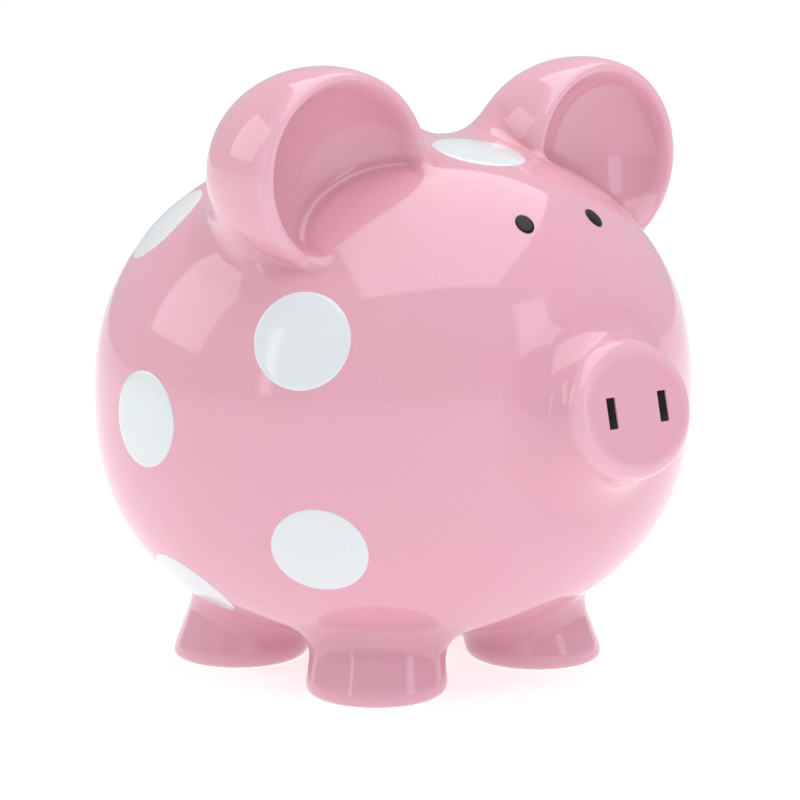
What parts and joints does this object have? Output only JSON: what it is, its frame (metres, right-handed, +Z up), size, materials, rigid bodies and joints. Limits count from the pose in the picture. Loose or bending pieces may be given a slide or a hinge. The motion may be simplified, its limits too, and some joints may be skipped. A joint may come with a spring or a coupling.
{
  "type": "piggy bank",
  "caption": "Round hollow ceramic pig money box with scooped ears, short legs, raised spots, a coin slot on its back and a pull-out stopper in its belly.",
  "frame": {"origin": "on the table, under the middle of the bank", "axes": "+Z up, -Y the way the pig faces, +X the pig's left"},
  "size_m": [0.1908, 0.2142, 0.1888],
  "materials": {
    "pink_glaze": "glossy pink glaze over white earthenware",
    "white_glaze": "glossy raised white glaze",
    "black_enamel": "glossy black enamel",
    "stopper_rubber": "soft off-white vinyl rubber"
  },
  "bodies": {
    "bank": {"body_shell": "pink_glaze", "snout": "pink_glaze", "ear_left": "pink_glaze", "ear_right": "pink_glaze", "leg_front_left": "pink_glaze", "leg_front_right": "pink_glaze", "leg_rear_left": "pink_glaze", "leg_rear_right": "pink_glaze", "tail": "pink_glaze", "spot_cheek_left": "white_glaze", "spot_cheek_right": "white_glaze", "spot_flank_left": "white_glaze", "spot_flank_right": "white_glaze", "spot_shoulder_left": "white_glaze", "spot_shoulder_right": "white_glaze", "spot_haunch_left": "white_glaze", "spot_haunch_right": "white_glaze", "spot_back_left": "white_glaze", "spot_back_right": "white_glaze", "spot_crown": "white_glaze", "spot_rump_upper": "white_glaze", "spot_rump_lower": "white_glaze", "eye_left": "black_enamel", "eye_right": "black_enamel", "nostril_left": "black_enamel", "nostril_right": "black_enamel"},
    "stopper": {"stopper": "stopper_rubber"}
  },
  "joints": [
    {"name": "stopper_pull", "type": "slide", "parent": "bank", "child": "stopper", "axis": [0, 0, -1], "range_m": [0, 0.05]}
  ]
}
